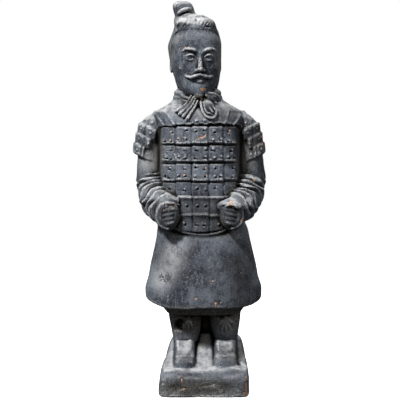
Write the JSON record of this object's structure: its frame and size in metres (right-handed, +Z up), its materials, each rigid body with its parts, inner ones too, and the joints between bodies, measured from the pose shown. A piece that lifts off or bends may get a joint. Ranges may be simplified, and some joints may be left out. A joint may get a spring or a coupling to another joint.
{
  "type": "terracotta warrior statue",
  "caption": "Standing warrior in plate armour with fists at the belt, moulded in clay in one piece with its low plinth.",
  "frame": {"origin": "middle of the plinth's underside, below the middle of the statue's box", "axes": "+Z up, the figure faces -Y, its left hand is towards +X"},
  "size_m": [0.0858, 0.062, 0.25],
  "materials": {
    "blackened_clay": "matt fired clay under a worn blue-black coat, pale dust in the relief"
  },
  "bodies": {
    "root": {"warrior_statue": "blackened_clay"}
  },
  "joints": []
}
